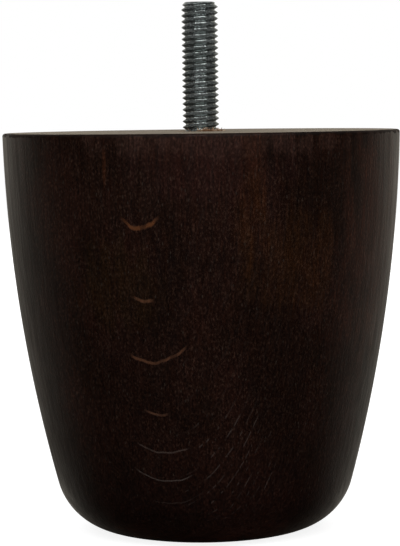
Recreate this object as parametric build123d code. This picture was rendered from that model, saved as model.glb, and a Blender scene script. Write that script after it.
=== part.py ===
from build123d import *

import os
from math import radians, tan

# A round tapered furniture foot, turned from one piece of wood, with a hanger bolt screwed into its top.
# The origin is the centre of the base, on the floor, and +Z points up the turning axis.
# Sizes are in millimetres.

# Turned foot
FOOT_HEIGHT = 85.5
TOP_DIAMETER = 85.0
BASE_DIAMETER = 57.5  # where the side would meet the floor if the toe weren't rounded
SIDE_RADIUS = 320.0  # gentle swell of the side, seen in section
TOE_RADIUS = 14.0  # rounding from the side into the base
TOP_EDGE_CHAMFER = 0.6  # eased edge round the top face

# Hanger bolt: machine thread above the wood, plain shank and wood thread below it
THREAD_DIAMETER = 7.76  # over the crests of an M8 thread, at the small end of its tolerance
THREAD_PITCH = 1.25
DEPTH_PER_PITCH = 0.61343  # of any standard metric bolt thread
STUD_LENGTH = 27.5  # machine thread that stands out of the top face
SHANK_DIAMETER = 7.1  # the bar that both threads were rolled on
SHANK_LENGTH = 5.0
WOOD_THREAD_DIAMETER = 7.76  # over the crests
WOOD_THREAD_DEPTH = 1.1
WOOD_THREAD_LENGTH = 20.5
POINT_LENGTH = 7.0  # gimlet point
THREAD_RUNOUT = 0.5  # length over which each thread fades into the shank

# Hole for the bolt
SHANK_CLEARANCE = 0.15  # round the widest part of the bolt, down to where the wood thread bites
PILOT_REACH = 3.0  # how far the pilot hole runs past the bolt's point
DRILL_POINT_ANGLE = 118.0

# Radii and heights that the bolt and its hole share
CREST_RADIUS = THREAD_DIAMETER / 2
SHANK_RADIUS = SHANK_DIAMETER / 2
SEAT_RADIUS = WOOD_THREAD_DIAMETER / 2
STUD_TOP = FOOT_HEIGHT + STUD_LENGTH
SHANK_END = FOOT_HEIGHT - SHANK_LENGTH
SEAT_TOP = SHANK_END - THREAD_RUNOUT
POINT_START = SHANK_END - WOOD_THREAD_LENGTH
POINT_TIP = POINT_START - POINT_LENGTH


def turn(section):
    """Turn a half section, given by its (radius, height) corners, into a solid about the axis."""
    with BuildPart() as solid:
        with BuildSketch(Plane.XZ):
            with BuildLine():
                Polyline(*section, close=True)
            make_face()
        revolve(axis=Axis.Z)
    return solid.part


def foot_blank():
    """The foot as it comes off the lathe: swelling side, rounded toe, eased top edge."""
    base_corner = (BASE_DIAMETER / 2, 0)
    top_corner = (TOP_DIAMETER / 2, FOOT_HEIGHT)
    with BuildPart() as blank:
        with BuildSketch(Plane.XZ) as section:
            with BuildLine():
                Line((0, 0), base_corner)
                RadiusArc(base_corner, top_corner, -SIDE_RADIUS)
                Line(top_corner, (0, FOOT_HEIGHT))
                Line((0, FOOT_HEIGHT), (0, 0))
            make_face()
            fillet(section.vertices().sort_by_distance(base_corner)[0], TOE_RADIUS)
            chamfer(section.vertices().sort_by_distance(top_corner)[0], TOP_EDGE_CHAMFER)
        revolve(axis=Axis.Z)
    return blank.part


def bolt_hole():
    """Clearance round the shank, the seat of the wood thread, and the pilot hole under the point."""
    clear_radius = max(CREST_RADIUS, SHANK_RADIUS, SEAT_RADIUS) + SHANK_CLEARANCE
    pilot_radius = SEAT_RADIUS - WOOD_THREAD_DEPTH
    point_enters_pilot = POINT_TIP + POINT_LENGTH * pilot_radius / SEAT_RADIUS
    pilot_floor = POINT_TIP - PILOT_REACH
    drill_point = pilot_radius / tan(radians(DRILL_POINT_ANGLE / 2))
    return turn(
        [
            (0, FOOT_HEIGHT),
            (clear_radius, FOOT_HEIGHT),
            (clear_radius, SEAT_TOP),
            (SEAT_RADIUS, SEAT_TOP),
            (SEAT_RADIUS, POINT_START),
            (pilot_radius, point_enters_pilot),
            (pilot_radius, pilot_floor),
            (0, pilot_floor - drill_point),
        ]
    )


def turned_foot():
    """The foot with the bolt's hole drilled into its top."""
    return foot_blank() - bolt_hole()


def hanger_bolt():
    """The bolt, with each thread as a plain cylinder over its crests."""
    thread_depth = DEPTH_PER_PITCH * THREAD_PITCH
    return turn(
        [
            (0, STUD_TOP),
            (CREST_RADIUS - thread_depth, STUD_TOP),
            (CREST_RADIUS, STUD_TOP - thread_depth),
            (CREST_RADIUS, FOOT_HEIGHT),
            (SHANK_RADIUS, FOOT_HEIGHT - THREAD_RUNOUT),
            (SHANK_RADIUS, SHANK_END),
            (SEAT_RADIUS, SEAT_TOP),
            (SEAT_RADIUS, POINT_START),
            (0, POINT_TIP),
        ]
    )


os.makedirs("parts", exist_ok=True)
export_step(turned_foot(), "parts/turned_foot.step")
export_step(hanger_bolt(), "parts/hanger_bolt.step")
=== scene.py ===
from collections import namedtuple
from math import asin, atan2, cos, hypot, pi, radians, sin, sqrt, tan

import bmesh
import bpy
import numpy as np
from mathutils import Matrix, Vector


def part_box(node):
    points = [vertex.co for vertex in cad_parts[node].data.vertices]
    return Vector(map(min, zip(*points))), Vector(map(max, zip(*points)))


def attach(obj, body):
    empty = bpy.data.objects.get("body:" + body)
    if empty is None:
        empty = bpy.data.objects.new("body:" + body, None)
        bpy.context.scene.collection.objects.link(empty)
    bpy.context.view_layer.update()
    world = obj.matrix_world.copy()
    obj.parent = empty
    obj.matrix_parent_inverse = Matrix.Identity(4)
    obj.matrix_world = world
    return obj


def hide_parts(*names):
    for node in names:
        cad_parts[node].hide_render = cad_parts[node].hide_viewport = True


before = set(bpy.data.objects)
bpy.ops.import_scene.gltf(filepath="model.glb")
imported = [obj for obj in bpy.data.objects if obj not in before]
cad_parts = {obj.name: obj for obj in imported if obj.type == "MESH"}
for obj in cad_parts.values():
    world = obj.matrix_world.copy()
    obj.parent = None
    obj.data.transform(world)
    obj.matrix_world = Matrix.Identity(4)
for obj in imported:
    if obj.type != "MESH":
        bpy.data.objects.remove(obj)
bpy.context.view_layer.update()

# A dark stained, turned wooden furniture foot with a zinc plated hanger bolt in its raw top.
# The frame is the CAD part's own: metres, origin at the centre of the base, +Z up the turning axis.
# Angles round the foot are from its front, the camera's side, and positive to the right.

MM = 0.001
UP = (0, 0, 1)

# Sizes read from the CAD nodes
_, foot_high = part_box("turned_foot")
bolt_low, bolt_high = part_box("hanger_bolt")
FOOT_HEIGHT = foot_high.z
STUD_TOP = bolt_high.z
POINT_TIP = bolt_low.z
CREST_RADIUS = bolt_high.x

# Sizes of the foot's section, as in the CAD part
TOP_RADIUS = 42.5 * MM
BASE_RADIUS = 28.75 * MM
SIDE_RADIUS = 320 * MM
TOE_RADIUS = 14 * MM
TOP_EDGE = 0.6 * MM

# Sizes of the bolt and its hole, as in the CAD part
THREAD_PITCH = 1.25 * MM
DEPTH_PER_PITCH = 0.61343
THREAD_DEPTH = DEPTH_PER_PITCH * THREAD_PITCH
CORE_RADIUS = CREST_RADIUS - THREAD_DEPTH
SHANK_RADIUS = 3.55 * MM
SHANK_LENGTH = 5 * MM
SHANK_END = FOOT_HEIGHT - SHANK_LENGTH
RUNOUT = 0.5 * MM
WOOD_THREAD_DEPTH = 1.1 * MM
WOOD_THREAD_LENGTH = 20.5 * MM
POINT_START = SHANK_END - WOOD_THREAD_LENGTH
HOLE_CLEARANCE = 0.15 * MM
HOLE_RADIUS = CREST_RADIUS + HOLE_CLEARANCE
PILOT_RADIUS = CREST_RADIUS - WOOD_THREAD_DEPTH
PILOT_REACH = 3 * MM
DRILL_POINT_ANGLE = radians(118)

# Turns of the threads: the flats are shares of a pitch, and the roundings shares of the depth
ROOT_DEPTH = 0.9 * THREAD_DEPTH
THREAD_START = radians(-148)
CREST_FLAT = 1 / 8
ROOT_FLAT = 1 / 6
WOOD_THREAD_PITCH = 3.2 * MM
WOOD_CREST_FLAT = 1 / 16
WOOD_ROOT_FLAT = 1 / 2
CREST_ROUNDING = 0.03
ROOT_ROUNDING = 0.08
SPARE_TURNS = 2

# Dish in the stud's end: shares of the core's radius, and depths
END_DISH = [(0.8, 0), (0.7, 0.12 * MM), (0.3, 0.2 * MM), (0, 0.2 * MM)]

# Torn fibres: how many, the mean and spread of their angles, and the least and most of each measure
FIBRE_COUNT = 90
FIBRE_SEED = 4
FIBRE_ANGLE = (22, 24)
FIBRE_LEAN = (15, 60)
FIBRE_TURN = (-75, 75)
FIBRE_FROM_HOLE_MM = (0.08, 0.7)
FIBRE_LENGTH_MM = (0.6, 1.4)
FIBRE_WIDTH_MM = (0.18, 0.4)
FIBRE_SUNK = 0.06 * MM

# A splinter's bend, as shares of its length and width, and its thickness as a share of its width
BEND_ALONG = 0.55
BEND_DOWN = 0.06
BEND_HALF_WIDTH = 0.4
SPLINTER_THICKNESS = 0.4

# Fineness of the meshes: points round the axis, rows along a section and rows to a thread's turn
FOOT_TURNS = 256
BASE_ROWS = 8
TOE_ROWS = 28
SIDE_ROWS = 90
EDGE_ROWS = 7
TOP_ROWS = 30
BOLT_TURNS = 96
STUD_STEPS = 20
SCREW_STEPS = 24

# Angles above which an edge is shaded hard
FOOT_SHARP = radians(35)
BOLT_SHARP = radians(40)
FIBRE_SHARP = radians(40)

# How close two points become one, how close a face lies on a surface, and how upright a level face is
WELD = 0.001 * MM
NEAR = 0.01 * MM
LEVEL = 0.99


# Directions round the foot

def outward(angle):
    """The level direction out of the foot at an angle from its front."""
    return sin(angle), -cos(angle), 0


def sideways(angle):
    """The level direction to the right, seen from outside at an angle from the front."""
    return cos(angle), sin(angle), 0


# Meshes

def mesh_object(name, points, faces, sharp_angle):
    """A clean, smooth-shaded mesh object with hard edges above the given angle."""
    mesh = bpy.data.meshes.new(name)
    mesh.from_pydata(points, [], faces)
    clean = bmesh.new()
    clean.from_mesh(mesh)
    bmesh.ops.remove_doubles(clean, verts=clean.verts, dist=WELD)
    bmesh.ops.recalc_face_normals(clean, faces=clean.faces)
    clean.to_mesh(mesh)
    clean.free()
    mesh.shade_smooth()
    mesh.set_sharp_from_angle(angle=sharp_angle)
    piece = bpy.data.objects.new(name, mesh)
    bpy.context.scene.collection.objects.link(piece)
    return piece


class Turning:
    """Points and faces of a turned shape, collected in bands of rings about the axis."""

    def __init__(self, around):
        self.turns = np.arange(around) * 2 * pi / around
        self.points = []
        self.faces = []

    def band(self, radii, heights, climb=0):
        """A band of rings; climb is how many rows up a ring meets itself after a turn, on a helix."""
        around = len(self.turns)
        rows = len(radii)
        first = len(self.points)
        x = radii * np.cos(self.turns)
        y = radii * np.sin(self.turns)
        self.points += np.stack([x, y, heights], axis=-1).reshape(-1, 3).tolist()
        for k in range(rows - 1):
            for i in range(around):
                ends = [(k, i), (k, i + 1), (k + 1, i + 1), (k + 1, i)]
                if i == around - 1:
                    ends = [(k, i), (k + climb, 0), (k + 1 + climb, 0), (k + 1, i)]
                self.faces.append([first + min(row, rows - 1) * around + column for row, column in ends])

    def profile(self, section):
        """A band turned from (radius, height) points."""
        size = len(section), len(self.turns)
        radii = np.broadcast_to([[r] for r, z in section], size)
        heights = np.broadcast_to([[z] for r, z in section], size)
        self.band(radii, heights)


# The turned foot

def side_centre():
    """Centre of the arc that the side follows, in the (radius, height) plane."""
    half_chord = hypot(TOP_RADIUS - BASE_RADIUS, FOOT_HEIGHT) / 2
    reach = sqrt(SIDE_RADIUS**2 - half_chord**2)
    lean = atan2(TOP_RADIUS - BASE_RADIUS, FOOT_HEIGHT)
    middle_r = (TOP_RADIUS + BASE_RADIUS) / 2
    return middle_r - reach * cos(lean), FOOT_HEIGHT / 2 + reach * sin(lean)


def outer_section():
    """(radius, height) points from the base, round the toe and up the side, to the top face."""
    side_r, side_z = side_centre()
    toe_r = side_r + sqrt((SIDE_RADIUS - TOE_RADIUS) ** 2 - (side_z - TOE_RADIUS) ** 2)
    toe_end = atan2(TOE_RADIUS - side_z, toe_r - side_r)
    edge_start = asin((FOOT_HEIGHT - TOP_EDGE - side_z) / SIDE_RADIUS)
    edge_r = side_r + SIDE_RADIUS * cos(edge_start)
    section = [(r, 0) for r in np.linspace(toe_r / BASE_ROWS, toe_r, BASE_ROWS)]
    for a in np.linspace(-pi / 2, toe_end, TOE_ROWS)[1:]:
        section.append((toe_r + TOE_RADIUS * cos(a), TOE_RADIUS + TOE_RADIUS * sin(a)))
    for a in np.linspace(toe_end, edge_start, SIDE_ROWS)[1:]:
        section.append((side_r + SIDE_RADIUS * cos(a), side_z + SIDE_RADIUS * sin(a)))
    for a in np.linspace(0, pi / 2, EDGE_ROWS)[1:]:
        section.append((edge_r - TOP_EDGE * (1 - cos(a)), FOOT_HEIGHT - TOP_EDGE * (1 - sin(a))))
    return section


def hole_section():
    """(radius, height) points from the foot of the hole's clearance down to the pilot hole's tip."""
    seat_top = SHANK_END - RUNOUT
    enters_pilot = POINT_TIP + (POINT_START - POINT_TIP) * PILOT_RADIUS / CREST_RADIUS
    pilot_end = POINT_TIP - PILOT_REACH
    return [
        (HOLE_RADIUS, seat_top),
        (CREST_RADIUS, seat_top),
        (CREST_RADIUS, POINT_START),
        (PILOT_RADIUS, enters_pilot),
        (PILOT_RADIUS, pilot_end),
        (0, pilot_end - PILOT_RADIUS / tan(DRILL_POINT_ANGLE / 2)),
    ]


def foot_mesh():
    """The foot, turned from its outside, its top face and its stepped hole."""
    outer = outer_section()
    top_start, _ = outer[-1]
    top = [(r, FOOT_HEIGHT) for r in np.linspace(top_start, HOLE_RADIUS, TOP_ROWS)[1:]]
    turning = Turning(FOOT_TURNS)
    turning.profile([(0, 0)] + outer + top + hole_section())
    return mesh_object("turned_foot_stained", turning.points, turning.faces, FOOT_SHARP)


# The hanger bolt

def thread_height(phase, crest, root):
    """Height of a thread, 0 at its root and 1 at its crest, with a rounded root and an eased crest.

    crest and root are the flats' shares of a pitch.
    """
    from_crest = np.abs((phase + 0.5) % 1 - 0.5)
    flank = (0.5 - root / 2 - from_crest) / (0.5 - root / 2 - crest / 2)
    topped = -CREST_ROUNDING * np.logaddexp(-flank / CREST_ROUNDING, -1 / CREST_ROUNDING)
    return ROOT_ROUNDING * np.logaddexp(topped / ROOT_ROUNDING, 0)


def helix_grid(low, high, pitch, steps, turns, start):
    """Heights and thread phases of points set along a right-hand helix, held between two levels."""
    first = np.floor(low / pitch) - SPARE_TURNS
    last = np.ceil(high / pitch) + SPARE_TURNS
    rows = np.arange(first * steps, last * steps + 1)
    turned = (turns[None, :] + start) / (2 * pi)
    heights = np.clip((rows[:, None] / steps + turned) * pitch, low, high)
    return heights, heights / pitch - turned


def stud_band(turning):
    """The machine thread, with a chamfered end above and a run-out into the shank below."""
    low = FOOT_HEIGHT - RUNOUT
    heights, phase = helix_grid(low, STUD_TOP, THREAD_PITCH, STUD_STEPS, turning.turns, THREAD_START)
    radii = CREST_RADIUS - ROOT_DEPTH * (1 - thread_height(phase, CREST_FLAT, ROOT_FLAT))
    radii = np.minimum(radii, CORE_RADIUS + (STUD_TOP - heights))
    fade = np.clip((FOOT_HEIGHT - heights) / RUNOUT, 0, 1)
    turning.band(radii + (SHANK_RADIUS - radii) * fade, heights, STUD_STEPS)


def screw_band(turning):
    """The wood thread, with its gimlet point below and a run-out into the shank above."""
    heights, phase = helix_grid(POINT_TIP, SHANK_END, WOOD_THREAD_PITCH, SCREW_STEPS, turning.turns, 0)
    taper = np.clip((heights - POINT_TIP) / (POINT_START - POINT_TIP), 0, 1)
    thread = WOOD_THREAD_DEPTH * thread_height(phase, WOOD_CREST_FLAT, WOOD_ROOT_FLAT)
    radii = taper * (PILOT_RADIUS + thread)
    fade = np.clip((heights - SHANK_END + RUNOUT) / RUNOUT, 0, 1)
    turning.band(radii + (SHANK_RADIUS - radii) * fade, heights, SCREW_STEPS)


def bolt_mesh():
    """The hanger bolt, with both its threads cut as right-hand helices and a slightly dished end."""
    turning = Turning(BOLT_TURNS)
    screw_band(turning)
    turning.profile([(SHANK_RADIUS, SHANK_END), (SHANK_RADIUS, FOOT_HEIGHT - RUNOUT)])
    stud_band(turning)
    dish = [(share * CORE_RADIUS, STUD_TOP - depth) for share, depth in END_DISH]
    turning.profile([(CORE_RADIUS, STUD_TOP)] + dish)
    return mesh_object("hanger_bolt_threaded", turning.points, turning.faces, BOLT_SHARP)


# Torn fibres

def splinter(base, along, across, length, width):
    """Points and faces of one closed, flat, tapering splinter with a slight bend."""
    thick = np.cross(along, across)
    middle = base + BEND_ALONG * length * along - BEND_DOWN * length * np.array(UP)
    points = []
    for centre, half in ((base, width / 2), (middle, BEND_HALF_WIDTH * width)):
        points += [centre + half * across, centre + SPLINTER_THICKNESS * half * thick]
        points += [centre - half * across, centre - SPLINTER_THICKNESS * half * thick]
    points.append(base + length * along)
    faces = [(3, 2, 1, 0)]
    faces += [(i, (i + 1) % 4, 4 + (i + 1) % 4, 4 + i) for i in range(4)]
    faces += [(4 + i, 4 + (i + 1) % 4, 8) for i in range(4)]
    return points, faces


def fibre_mesh():
    """Splinters that the drill and the bolt tore up at the hole's mouth, most of them on the right."""
    random = np.random.default_rng(FIBRE_SEED)
    points = []
    faces = []
    for _ in range(FIBRE_COUNT):
        angle = radians(random.normal(*FIBRE_ANGLE))
        out = np.array(outward(angle))
        side = np.array(sideways(angle))
        lean = radians(random.uniform(*FIBRE_LEAN))
        turn = radians(random.uniform(*FIBRE_TURN))
        level = cos(turn) * out + sin(turn) * side
        along = cos(lean) * level + sin(lean) * np.array(UP)
        across = cos(turn) * side - sin(turn) * out
        base = (HOLE_RADIUS + random.uniform(*FIBRE_FROM_HOLE_MM) * MM) * out
        base[2] = FOOT_HEIGHT - FIBRE_SUNK
        length = random.uniform(*FIBRE_LENGTH_MM) * MM
        width = random.uniform(*FIBRE_WIDTH_MM) * MM
        new_points, new_faces = splinter(base, along, across, length, width)
        faces += [[len(points) + i for i in face] for face in new_faces]
        points += new_points
    return mesh_object("torn_fibres", points, faces, FIBRE_SHARP)


# Node trees

class Nodes:
    """Builds a node tree. Most calls add one node and return its output."""

    # A Mix node has its colour sockets after those for numbers and vectors
    MIX_FACTOR = 0
    MIX_A = 6
    MIX_B = 7
    MIX_RESULT = 2

    def __init__(self, owner):
        owner.use_nodes = True
        self.tree = owner.node_tree
        self.tree.nodes.clear()

    def node(self, kind, inputs=None, **settings):
        """Add a node with its settings, and link or set its inputs."""
        node = self.tree.nodes.new(kind)
        for name, value in settings.items():
            setattr(node, name, value)
        for name, value in (inputs or {}).items():
            if isinstance(value, bpy.types.NodeSocket):
                self.tree.links.new(value, node.inputs[name])
            else:
                node.inputs[name].default_value = value
        return node

    def add(self, kind, inputs=None, output=0, **settings):
        """Add a node and return one of its outputs."""
        return self.node(kind, inputs, **settings).outputs[output]

    def surface(self, inputs):
        """Finish a material with one Principled shader."""
        shader = self.add("ShaderNodeBsdfPrincipled", inputs)
        self.node("ShaderNodeOutputMaterial", {"Surface": shader})

    def place(self):
        """The point's place in metres, in the object's own coordinates."""
        return self.add("ShaderNodeTexCoord", output="Object")

    def normal(self):
        """The direction that the surface faces."""
        return self.add("ShaderNodeNewGeometry", output="Normal")

    def math(self, operation, a, b=0.0):
        """One step of arithmetic."""
        return self.add("ShaderNodeMath", {0: a, 1: b}, operation=operation)

    def chain(self, operation, values):
        """One operation on several values, from the first to the last."""
        result = values[0]
        for value in values[1:]:
            result = self.math(operation, result, value)
        return result

    def total(self, *values):
        """The values added up."""
        return self.chain("ADD", values)

    def product(self, *values):
        """The values multiplied together."""
        return self.chain("MULTIPLY", values)

    def from_whole(self, value):
        """How far a value is from the nearest whole number."""
        return self.math("PINGPONG", value, 0.5)

    def stretch(self, a, b):
        """A vector multiplied by another, number by number."""
        return self.add("ShaderNodeVectorMath", {0: a, 1: b}, operation="MULTIPLY")

    def dot(self, a, b):
        """How far vector a reaches along direction b."""
        return self.add("ShaderNodeVectorMath", {0: a, 1: b}, output="Value", operation="DOT_PRODUCT")

    def length(self, a):
        """A vector's length."""
        return self.add("ShaderNodeVectorMath", {0: a}, output="Value", operation="LENGTH")

    def noise(self, place, scale, stretch=(1, 1, 1), detail=2.0, shift=0.0):
        """A soft noise about 0.5: scale is in features per unit, and shift sets like noises apart."""
        mapping = {"Vector": place, "Location": (shift, 0, 0), "Scale": stretch}
        moved = self.add("ShaderNodeMapping", mapping)
        return self.add("ShaderNodeTexNoise", {"Vector": moved, "Scale": scale, "Detail": detail})

    def ramp(self, value, span, result=(0.0, 1.0)):
        """Ease from the first to the second number of result while the value crosses the span."""
        inputs = {
            "Value": value,
            "From Min": span[0],
            "From Max": span[1],
            "To Min": result[0],
            "To Max": result[1],
        }
        return self.add("ShaderNodeMapRange", inputs, interpolation_type="SMOOTHSTEP")

    def steps(self, value, rows):
        """Outputs of a colour ramp that holds each row's four numbers in turn."""
        ramp = self.node("ShaderNodeValToRGB", {"Fac": value})
        ramp.color_ramp.interpolation = "CONSTANT"
        stops = ramp.color_ramp.elements
        for _ in rows[2:]:
            stops.new(1.0)
        for i, row in enumerate(rows):
            stops[i].position = i / len(rows)
            stops[i].color = row
        return ramp.outputs

    def split(self, colour):
        """A colour's red, green and blue."""
        return self.node("ShaderNodeSeparateColor", {"Color": colour}).outputs

    def mix(self, factor, a, b):
        """From colour a to colour b as the factor goes from 0 to 1."""
        inputs = {self.MIX_FACTOR: factor, self.MIX_A: a, self.MIX_B: b}
        return self.add("ShaderNodeMix", inputs, output=self.MIX_RESULT, data_type="RGBA")

    def shade(self, colour, factor):
        """A colour made lighter or darker."""
        return self.add("ShaderNodeVectorMath", {0: colour, "Scale": factor}, operation="SCALE")

    def mottle(self, colour, noise, contrast):
        """A colour made lighter and darker by a noise; contrast is between the noise's two ends."""
        return self.shade(colour, self.math("POWER", contrast, self.math("SUBTRACT", noise, 0.5)))

    def bump(self, height, distance):
        """A normal for relief that is this deep."""
        return self.add("ShaderNodeBump", {"Height": height, "Distance": distance, "Strength": 1.0})


def new_material(name):
    """An empty material, and the builder of its nodes."""
    material = bpy.data.materials.new(name)
    return material, Nodes(material)


def rgb(red, green, blue):
    """A linear colour from sRGB display values of 0 to 255."""
    levels = [v / 255 for v in (red, green, blue)]
    return (*[v / 12.92 if v <= 0.04045 else ((v + 0.055) / 1.055) ** 2.4 for v in levels], 1.0)


def position_mm(nodes):
    """The point's place in millimetres, in the object's own coordinates."""
    return nodes.stretch(nodes.place(), (1 / MM, 1 / MM, 1 / MM))


def from_axis(nodes, mm):
    """The point's distance from the turning axis."""
    return nodes.length(nodes.stretch(mm, (1, 1, 0)))


# Wood, with sizes in millimetres

STAIN_DARK = rgb(20, 7, 3)
STAIN_MID = rgb(27, 10, 5)
RIM_PAINTED_SHADE = rgb(13, 6, 4)
RING_ORANGE = rgb(82, 47, 24)
RING_GREY = rgb(64, 56, 52)
TICK = rgb(60, 49, 39)
FLECK = rgb(60, 53, 46)
END_GRAIN_DARK = rgb(132, 121, 106)
END_GRAIN_LIGHT = rgb(142, 131, 115)
HOLE_STAIN = rgb(140, 98, 70)
TORN_DARK = rgb(182, 148, 119)
TORN_LIGHT = rgb(226, 206, 180)

# Parts of a noise's range that most of its values lie in, and the ragged offset of a stain's edge
MOST = (0.3, 0.7)
MIDDLE = (0.35, 0.65)
RAGGED = (-0.6, 0.8)

# How much the fibres and the grain lighten and darken the stain, and the grain's share of the relief
FIBRE_CONTRAST = 6.0
GRAIN_CONTRAST = 9.0
GRAIN_RELIEF = 2.2

# Depths of the relief, in metres as the shader takes them
STAIN_RELIEF = 0.02 * MM
END_GRAIN_RELIEF = 0.05 * MM
TORN_RELIEF = 0.02 * MM

# The rim's roughness, along the dark line of shade that is painted there
RIM_ROUGHNESS = 0.65

# Pale flecks: how many cells there are to a millimetre, and the share of them that stay empty
FLECKS_PER_MM = (1.3, 1.3, 0.42)
EMPTY_FLECKS = 0.6

# A spot on the side: the angle of its middle in degrees, its height and its half sizes
Spot = namedtuple("Spot", "angle height half_width half_height")

# Blotches of the stain, with their colours and strengths; the last one, on the right side, is painted light
STAIN_BLOTCHES = [
    (Spot(-21, 74, 10, 9), rgb(20, 8, 4), 0.6),
    (Spot(2, 84, 22, 3.5), rgb(48, 31, 25), 0.6),
    (Spot(14, 74, 3.0, 16), rgb(42, 18, 1), 0.5),
    (Spot(26, 60, 11, 10), rgb(38, 18, 3), 0.5),
    (Spot(3, 80, 16, 7), rgb(36, 15, 12), 0.4),
    (Spot(-25, 55, 9, 9), rgb(28, 15, 3), 0.5),
    (Spot(-27, 79, 0.5, 5), rgb(58, 28, 10), 0.3),
    # Lighter, redder patch on the right side: painted light where more light falls on that side.
    (Spot(64, 62, 14, 26), rgb(44, 19, 9), 0.6),
]

# Growth rings: nearly flat layers that face the viewer's left, counted from the first light line
RING_FACING = radians(-18.4)
RING_SPACING = 1.4
RINGS_WITHIN = 23.22
PITH_DISTANCE = 400.0

# How the layers lean aside, less and less on the way out, and how far they wobble
LEAN_DEPTHS = (33, 43)
LEAN_SLOPES = (0.085, 0.01)
RING_WOBBLE = 0.25

# The slow wave that makes the years wider and narrower: radians per mm, its start, and its size in rings
WAVE_RATE = 0.395
WAVE_START = 3.99
WAVE_SIZE = 0.52

# Light lines where a growth ring surfaces, from the innermost one on the front outwards:
# how far each runs to the left and to the right, its warmth and its strength
RING_LINES = [
    (0.4, 9.2, 0.0, 0.2),
    (3.4, 7.5, 0.0, 0.62),
    (2.4, 7.4, 0.1, 0.55),
    (0.2, 3.7, 0.7, 0.65),
    (2.4, 8.3, 0.8, 0.68),
    (1.0, 2.3, 0.8, 0.8),
    (2.9, 4.3, 1.0, 0.8),
]

# Pale dashes along the rings' arms: how many lines there are to a ring, their start and their main place
DASHES_PER_RING = 1.5
DASH_START = 0.3
DASH_SPOT = Spot(8, 20, 9, 11)


def ring_place(nodes, mm):
    """How far out a point lies, along the direction that the growth rings face, and how far aside."""
    depth = nodes.dot(mm, outward(RING_FACING))
    aside = nodes.dot(mm, sideways(RING_FACING))
    sag = nodes.product(aside, aside, 0.5 / PITH_DISTANCE)
    lean = nodes.product(aside, nodes.ramp(depth, LEAN_DEPTHS, LEAN_SLOPES))
    wobble = nodes.product(nodes.noise(mm, scale=0.28, stretch=(1, 1, 0.15)), RING_WOBBLE)
    return nodes.total(depth, nodes.total(sag, lean, wobble)), aside


def ring_count(nodes, depth):
    """Rings counted outward: evenly spaced years, widened and narrowed by a slow wave."""
    wave = nodes.math("SINE", nodes.total(nodes.product(depth, WAVE_RATE), WAVE_START))
    even = nodes.math("SUBTRACT", nodes.math("DIVIDE", depth, RING_SPACING), RINGS_WITHIN)
    return nodes.math("SUBTRACT", even, nodes.product(wave, WAVE_SIZE))


def spot_mask(nodes, mm, ragged, spot):
    """A soft-edged spot on the side, 1 in its middle."""
    angle = radians(spot.angle)
    across = nodes.math("DIVIDE", nodes.dot(mm, sideways(angle)), spot.half_width)
    up = nodes.math("DIVIDE", nodes.math("SUBTRACT", nodes.dot(mm, UP), spot.height), spot.half_height)
    spread = nodes.total(nodes.product(across, across), nodes.product(up, up), ragged)
    this_side = nodes.math("GREATER_THAN", nodes.dot(mm, outward(angle)), 0)
    return nodes.product(nodes.ramp(spread, (0.1, 1.6), (1, 0)), this_side)


def ring_lines(nodes, mm, count, aside):
    """Strength and warmth of the light lines that the growth rings show on the side."""
    line = nodes.ramp(nodes.from_whole(count), (0.01, 0.037), (1, 0))
    ring = nodes.math("FLOORED_MODULO", nodes.math("ROUND", count), len(RING_LINES))
    style = nodes.steps(nodes.math("DIVIDE", nodes.total(ring, 0.5), len(RING_LINES)), RING_LINES)
    left, right, warmth = nodes.split(style["Color"])
    begun = nodes.ramp(nodes.total(aside, left), (-0.7, 0.7))
    ended = nodes.ramp(nodes.math("SUBTRACT", right, aside), (-1.0, 0.7))
    above_toe = nodes.ramp(nodes.dot(mm, UP), (9, 10.5))
    wear = nodes.noise(mm, scale=0.5, stretch=(1, 1, 0.3), shift=11)
    worn = nodes.ramp(wear, (0.35, 0.55), (0.45, 1))
    return nodes.product(line, style["Alpha"], begun, ended, above_toe, worn), warmth


def ring_dashes(nodes, mm, ragged, count, aside):
    """Strength of the short pale dashes along the rings' arms, most of them low on the right."""
    finer = nodes.total(nodes.product(count, DASHES_PER_RING), DASH_START)
    facing = nodes.dot(nodes.normal(), outward(RING_FACING))
    slant = nodes.math("SQRT", nodes.math("SUBTRACT", 1.0, nodes.product(facing, facing)))
    apart = nodes.product(nodes.from_whole(finer), RING_SPACING / DASHES_PER_RING)
    line = nodes.ramp(nodes.math("DIVIDE", apart, slant), (0.05, 0.17), (1, 0))
    breaks = nodes.noise(mm, scale=0.9, stretch=(1, 1, 0.35), shift=23)
    broken = nodes.ramp(breaks, (0.48, 0.56))
    arm = nodes.ramp(nodes.math("ABSOLUTE", aside), (4, 8), (0.12, 1))
    strength = nodes.ramp(spot_mask(nodes, mm, ragged, DASH_SPOT), (0, 1), (0.05, 0.4))
    return nodes.product(strength, line, broken, arm)


def flecks(nodes, mm):
    """Strength of the short flecks in the grain: the middles of some cells that are drawn out upward."""
    place = nodes.stretch(mm, FLECKS_PER_MM)
    cells = nodes.node("ShaderNodeTexVoronoi", {"Vector": place, "Scale": 1.0}).outputs
    chance = nodes.math("GREATER_THAN", nodes.dot(cells["Color"], (1, 0, 0)), EMPTY_FLECKS)
    return nodes.product(nodes.ramp(cells["Distance"], (0.08, 0.2), (0.35, 0)), chance)


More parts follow.
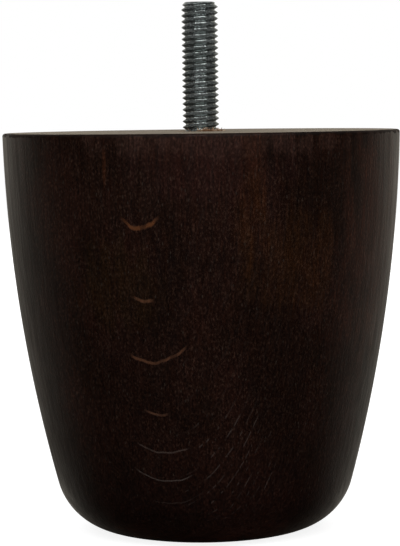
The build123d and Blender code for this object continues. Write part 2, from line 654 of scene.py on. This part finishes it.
def stain(nodes, mm, ragged, fibre, grain):
    """Colour of the stain: clouds and blotches, mottled by fibres and grain, with painted shade above the
    toe and painted light on the toe.
    """
    height = nodes.dot(mm, UP)
    cloudy = nodes.ramp(nodes.noise(mm, scale=0.09, stretch=(1, 1, 0.5), detail=3), (0.38, 0.62))
    colour = nodes.mix(cloudy, STAIN_DARK, STAIN_MID)
    for spot, tint, strength in STAIN_BLOTCHES:
        mask = spot_mask(nodes, mm, ragged, spot)
        colour = nodes.mix(nodes.product(mask, strength), colour, tint)
    colour = nodes.mottle(colour, fibre, FIBRE_CONTRAST)
    colour = nodes.mottle(colour, grain, GRAIN_CONTRAST)
    peak = nodes.ramp(grain, (0.52, 0.85))
    more_in_clouds = nodes.ramp(cloudy, (0, 1), (0.22, 0.36))
    less_below = nodes.ramp(height, (6, 34), (0.4, 1))
    colour = nodes.mix(nodes.product(peak, more_in_clouds, less_below), colour, TICK)
    colour = nodes.mix(flecks(nodes, mm), colour, FLECK)
    # Painted shade: darker from 24 mm down to 10 mm. Painted light: up to 2.4 times lighter on the toe
    # below 7.5 mm.
    painted_shade_above_toe = nodes.ramp(height, (10, 24), (0.76, 1.0))
    painted_light_on_toe = nodes.ramp(height, (1, 7.5), (2.4, 1.0))
    return nodes.shade(colour, nodes.product(painted_shade_above_toe, painted_light_on_toe))


def growth_rings(nodes, mm, ragged, colour):
    """The stain's colour with the pale dashes and the light lines of the growth rings."""
    depth, aside = ring_place(nodes, mm)
    count = ring_count(nodes, depth)
    colour = nodes.mix(ring_dashes(nodes, mm, ragged, count, aside), colour, RING_GREY)
    strength, warmth = ring_lines(nodes, mm, count, aside)
    return nodes.mix(strength, colour, nodes.mix(warmth, RING_GREY, RING_ORANGE))


def stained_wood():
    """Dark stain on turned beech, with growth rings that show, and a painted dark line of shade along the
    rim.
    """
    material, nodes = new_material("stained_wood")
    mm = position_mm(nodes)
    fibre = nodes.noise(mm, scale=2.4, stretch=(1, 1, 0.05), detail=3)
    grain = nodes.noise(mm, scale=3.1, stretch=(1, 1, 0.5), detail=1)
    strand = nodes.noise(mm, scale=0.9, stretch=(1, 1, 0.04), shift=17)
    ragged = nodes.ramp(nodes.noise(mm, scale=0.35, stretch=(1, 1, 0.2), detail=3, shift=40), MOST, RAGGED)
    colour = growth_rings(nodes, mm, ragged, stain(nodes, mm, ragged, fibre, grain))

    # A ragged dark line along the rim's rounding: painted shade.
    up = nodes.total(nodes.dot(mm, UP), nodes.ramp(ragged, RAGGED, (-0.3, 0.3)))
    rim = nodes.ramp(up, (FOOT_HEIGHT / MM - 0.8, FOOT_HEIGHT / MM - 0.4))
    rim_shade_share = nodes.ramp(nodes.noise(mm, scale=0.1, stretch=(1, 1, 0), shift=31), (0.4, 0.6), (0.2, 0.8))
    polish = nodes.ramp(strand, MOST, (0.37, 0.47))
    relief = nodes.total(fibre, nodes.product(nodes.total(grain, strand), GRAIN_RELIEF))
    nodes.surface({
        "Base Color": nodes.mix(nodes.product(rim, rim_shade_share), colour, RIM_PAINTED_SHADE),
        "Roughness": nodes.math("MAXIMUM", polish, nodes.product(rim, RIM_ROUGHNESS)),
        "Specular IOR Level": 0.1,
        "Normal": nodes.bump(relief, STAIN_RELIEF),
    })
    return material


def raw_wood():
    """The bare sawn end of the foot: dusty end grain, with stain that ran over the rim and to the hole."""
    material, nodes = new_material("raw_wood")
    mm = position_mm(nodes)
    speck = nodes.noise(mm, scale=2.5, detail=3)
    cloudy = nodes.noise(mm, scale=0.08, detail=4, shift=5)
    saw = nodes.noise(mm, scale=0.9, stretch=(0.08, 1.6, 1))
    colour = nodes.mix(nodes.ramp(cloudy, MIDDLE), END_GRAIN_DARK, END_GRAIN_LIGHT)
    colour = nodes.shade(colour, nodes.ramp(speck, MOST, (0.75, 1.15)))
    depth, _ = ring_place(nodes, mm)
    year = nodes.math("FRACT", ring_count(nodes, depth))
    colour = nodes.shade(colour, nodes.ramp(year, (0.6, 0.97), (1.0, 0.72)))
    colour = nodes.shade(colour, nodes.ramp(saw, MIDDLE, (0.88, 1.06)))

    edge = nodes.ramp(nodes.noise(mm, scale=0.14, detail=3, shift=9), MOST, (-0.7, 0.7))
    radius = nodes.total(from_axis(nodes, mm), edge)
    from_rim = nodes.math("SUBTRACT", TOP_RADIUS / MM, radius)
    colour = nodes.mix(nodes.ramp(from_rim, (0.0, 2.0), (0.85, 0)), colour, STAIN_MID)
    from_hole = nodes.math("SUBTRACT", radius, HOLE_RADIUS / MM)
    colour = nodes.mix(nodes.ramp(from_hole, (0.2, 2.6), (0.7, 0)), colour, HOLE_STAIN)
    nodes.surface({
        "Base Color": colour,
        "Roughness": nodes.ramp(speck, MOST, (0.7, 0.9)),
        "Specular IOR Level": 0.2,
        "Normal": nodes.bump(nodes.total(speck, saw), END_GRAIN_RELIEF),
    })
    return material


def torn_wood():
    """Fibres torn up round the hole: warm brown, and paler in patches."""
    material, nodes = new_material("torn_wood")
    mm = position_mm(nodes)
    patch = nodes.noise(mm, scale=1.6, shift=7)
    strand = nodes.noise(mm, scale=9.0, stretch=(1, 1, 0.3))
    colour = nodes.mix(nodes.ramp(patch, MIDDLE), TORN_DARK, TORN_LIGHT)
    nodes.surface({
        "Base Color": nodes.shade(colour, nodes.ramp(strand, MOST, (0.75, 1.2))),
        "Roughness": nodes.ramp(strand, MOST, (0.65, 0.9)),
        "Specular IOR Level": 0.2,
        "Normal": nodes.bump(strand, TORN_RELIEF),
    })
    return material


# Zinc plated steel

ZINC_ROOT = rgb(224, 232, 231)
ZINC_CREST = rgb(170, 178, 177)
ZINC_DULL = rgb(104, 122, 112)
ZINC_EDGE = (0.25, 0.25, 0.25, 1.0)
ZINC_RELIEF = 0.05 * MM


def zinc_steel():
    """Spotty zinc plating: bright in the roots and duller on the crests, with painted shade on flanks that
    face down.
    """
    material, nodes = new_material("zinc_plated_steel")
    mm = position_mm(nodes)
    spots = nodes.noise(mm, scale=3.0, detail=3)
    patch = nodes.noise(mm, scale=0.25, shift=3)
    crest = nodes.ramp(from_axis(nodes, mm), ((CREST_RADIUS - ROOT_DEPTH) / MM, CREST_RADIUS / MM))
    colour = nodes.mix(crest, ZINC_ROOT, ZINC_CREST)
    colour = nodes.mix(nodes.ramp(patch, (0.4, 0.65), (0, 0.35)), colour, ZINC_DULL)
    colour = nodes.shade(colour, nodes.ramp(spots, (0.4, 0.6), (0.32, 1.2)))
    facing_up = nodes.dot(nodes.normal(), UP)
    nodes.surface({
        # Flanks that face down get a darker base colour, down to a fifth: painted shade.
        "Base Color": nodes.shade(colour, nodes.ramp(facing_up, (-0.8, 0.1), (0.2, 1.0))),
        "Metallic": 0.85,
        "Sheen Weight": 0.17,
        "Specular Tint": ZINC_EDGE,
        "Roughness": nodes.ramp(spots, MOST, (0.1, 0.24)),
        "Normal": nodes.bump(spots, ZINC_RELIEF),
    })
    return material


# The pieces

foot = foot_mesh()
foot.data.materials.append(stained_wood())
foot.data.materials.append(raw_wood())
for face in foot.data.polygons:
    on_top = face.normal.z > LEVEL and face.center.z > FOOT_HEIGHT - NEAR
    in_hole = hypot(face.center.x, face.center.y) < HOLE_RADIUS + NEAR and face.center.z > NEAR
    face.material_index = 1 if on_top or in_hole else 0
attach(foot, "root")
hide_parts("turned_foot")

bolt = bolt_mesh()
bolt.data.materials.append(zinc_steel())
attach(bolt, "root")
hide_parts("hanger_bolt")

fibres = fibre_mesh()
fibres.data.materials.append(torn_wood())
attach(fibres, "root")


# Floor, backdrop and world: white to the camera, dim to the object

STAGE_RADIUS = 1.4
FLOOR_SIDES = 64
WALL_HEIGHT = 1.0
WALL_HALF_ANGLE = radians(65)
WALL_STEPS = 32

# Colours and glows to the camera, to the object's matt surfaces and in its gloss
FLOOR_PALE = 0.35
FLOOR_BOUNCE = 0.9
FLOOR_GLOSS = 0.6
WALL_GLOSS = 1.3 * FLOOR_GLOSS
GLOSS_TINT = (1.0, 0.93, 0.8, 1.0)
WHITE = (1, 1, 1, 1)
FILL = 0.035
CEILING = 0.2


def stage_surface(nodes, seen, pale, bounce, reflected):
    """Finish a pale stage material.

    seen is its glow to the camera, pale its colour there, bounce its colour to the object's matt
    surfaces, and reflected its glow in the object's gloss. It can't be seen from behind.
    """
    path = nodes.node("ShaderNodeLightPath").outputs
    camera = path["Is Camera Ray"]
    glossy = path["Is Glossy Ray"]
    strength = nodes.total(nodes.product(camera, seen), nodes.product(glossy, reflected))
    tint = nodes.mix(glossy, WHITE, GLOSS_TINT)
    glow = nodes.add("ShaderNodeEmission", {"Color": tint, "Strength": strength})
    colour = nodes.total(nodes.product(camera, pale), nodes.product(path["Is Diffuse Ray"], bounce))
    matt = nodes.add("ShaderNodeBsdfDiffuse", {"Color": colour})
    front = nodes.add("ShaderNodeAddShader", {0: glow, 1: matt})
    clear = nodes.add("ShaderNodeBsdfTransparent")
    behind = nodes.add("ShaderNodeNewGeometry", output="Backfacing")
    shader = nodes.add("ShaderNodeMixShader", {0: behind, 1: front, 2: clear})
    nodes.node("ShaderNodeOutputMaterial", {"Surface": shader})


def stage_object(name, points, faces, material):
    """A mesh that isn't part of the object."""
    mesh = bpy.data.meshes.new(name)
    mesh.from_pydata(points, [], faces)
    mesh.materials.append(material)
    piece = bpy.data.objects.new(name, mesh)
    bpy.context.scene.collection.objects.link(piece)


def stage_edge(angle, height):
    """A point over the edge of the round stage."""
    x, y, _ = outward(angle)
    return STAGE_RADIUS * x, STAGE_RADIUS * y, height


def floor_in_gloss(nodes, place):
    """How bright the floor is in the object's gloss, by place, which shapes the sheen along the sides."""
    right = nodes.dot(place, (1, 0, 0))
    back = nodes.dot(place, (0, 1, 0))
    away = nodes.length(place)
    ring = nodes.product(nodes.ramp(away, (0.05, 0.065)), nodes.ramp(away, (0.1, 0.15), (1, 0)))
    dimmed = nodes.product(ring, nodes.ramp(right, (-0.05, 0.03), (0.3, 0)), FLOOR_GLOSS)
    none_in_front = nodes.ramp(back, (-0.025, 0.02))
    more_at_back = nodes.ramp(back, (0.05, 1.0), (0.7, 1.1))
    more_on_right = nodes.ramp(right, (-0.3, 0.3), (0.9, 1.15))
    more_by_toe = nodes.ramp(away, (0.042, 0.066), (1.7, 1.0))
    less_under_base = nodes.ramp(away, (0.022, 0.032), (0.6, 1.0))
    glow = nodes.math("SUBTRACT", FLOOR_GLOSS, dimmed)
    return nodes.product(glow, none_in_front, more_at_back, more_on_right, more_by_toe, less_under_base)


def add_floor():
    """A round floor that keeps the object's shadow and fades to white farther off."""
    material, nodes = new_material("floor_white")
    place = nodes.place()
    seen = nodes.ramp(nodes.length(place), (0.1, 1.0), (0.88, 0.97))
    stage_surface(nodes, seen, FLOOR_PALE, FLOOR_BOUNCE, floor_in_gloss(nodes, place))
    edge = [stage_edge(2 * pi * i / FLOOR_SIDES, 0) for i in range(FLOOR_SIDES)]
    stage_object("floor", edge, [tuple(range(FLOOR_SIDES))], material)


def add_backdrop():
    """A white wall round the back of the floor, which gives the sides their sheen."""
    material, nodes = new_material("backdrop_white")
    stage_surface(nodes, seen=1.0, pale=0.0, bounce=0.0, reflected=WALL_GLOSS)
    points = []
    for angle in np.linspace(pi - WALL_HALF_ANGLE, pi + WALL_HALF_ANGLE, WALL_STEPS + 1):
        points += [stage_edge(angle, 0), stage_edge(angle, WALL_HEIGHT)]
    faces = [(2 * i + 1, 2 * i + 3, 2 * i + 2, 2 * i) for i in range(WALL_STEPS)]
    stage_object("backdrop", points, faces, material)


def add_world():
    """A world that is white to the camera, and to the object a dim room with a lighter ceiling."""
    world = bpy.data.worlds.new("studio")
    bpy.context.scene.world = world
    nodes = Nodes(world)
    seen = nodes.add("ShaderNodeLightPath", output="Is Camera Ray")
    rise = nodes.dot(nodes.add("ShaderNodeTexCoord", output="Generated"), UP)
    strength = nodes.math("MAXIMUM", seen, nodes.ramp(rise, (0.45, 0.8), (FILL, CEILING)))
    shader = nodes.add("ShaderNodeBackground", {"Color": WHITE, "Strength": strength})
    nodes.node("ShaderNodeOutputWorld", {"Surface": shader})


# Lamps and camera

LAMP_DISTANCE = 1.2
LAMP_WIDTH = 1.8
LAMP_HEIGHT = 0.5
KEY_POWER = 14.0
BACK_POWER = 12.0

CAMERA_PLACE = (-0.591 * MM, -483.32 * MM, 90.76 * MM)
CAMERA_DOWN = radians(4.234)
CAMERA_ROLL = radians(-0.698)
FOCAL_LENGTH = 148.27
SENSOR_WIDTH = 36


def softbox(name, angle, elevation, power):
    """A soft lamp that points at the middle of the foot, with its place in degrees."""
    lamp = bpy.data.lights.new(name, "AREA")
    lamp.shape = "RECTANGLE"
    lamp.size = LAMP_WIDTH
    lamp.size_y = LAMP_HEIGHT
    lamp.energy = power
    piece = bpy.data.objects.new(name, lamp)
    centre = Matrix.Translation((0, 0, FOOT_HEIGHT / 2))
    aim = Matrix.Rotation(radians(angle), 4, "Z") @ Matrix.Rotation(pi / 2 - radians(elevation), 4, "X")
    piece.matrix_world = centre @ aim @ Matrix.Translation((0, 0, LAMP_DISTANCE))
    piece.visible_camera = False
    bpy.context.scene.collection.objects.link(piece)
    return piece


def add_camera():
    """The camera, where it stood for the photo."""
    lens = bpy.data.cameras.new("camera")
    lens.lens = FOCAL_LENGTH
    lens.sensor_width = SENSOR_WIDTH
    camera = bpy.data.objects.new("camera", lens)
    tilt = Matrix.Rotation(pi / 2 - CAMERA_DOWN, 4, "X")
    roll = Matrix.Rotation(CAMERA_ROLL, 4, "Z")
    camera.matrix_world = Matrix.Translation(CAMERA_PLACE) @ tilt @ roll
    bpy.context.scene.collection.objects.link(camera)
    bpy.context.scene.camera = camera


add_floor()
add_backdrop()
add_world()
softbox("key_light", angle=2, elevation=42, power=KEY_POWER)
back_light = softbox("back_light", angle=186, elevation=30, power=BACK_POWER)
back_light.visible_glossy = False
add_camera()
bpy.context.scene.view_settings.view_transform = "Standard"
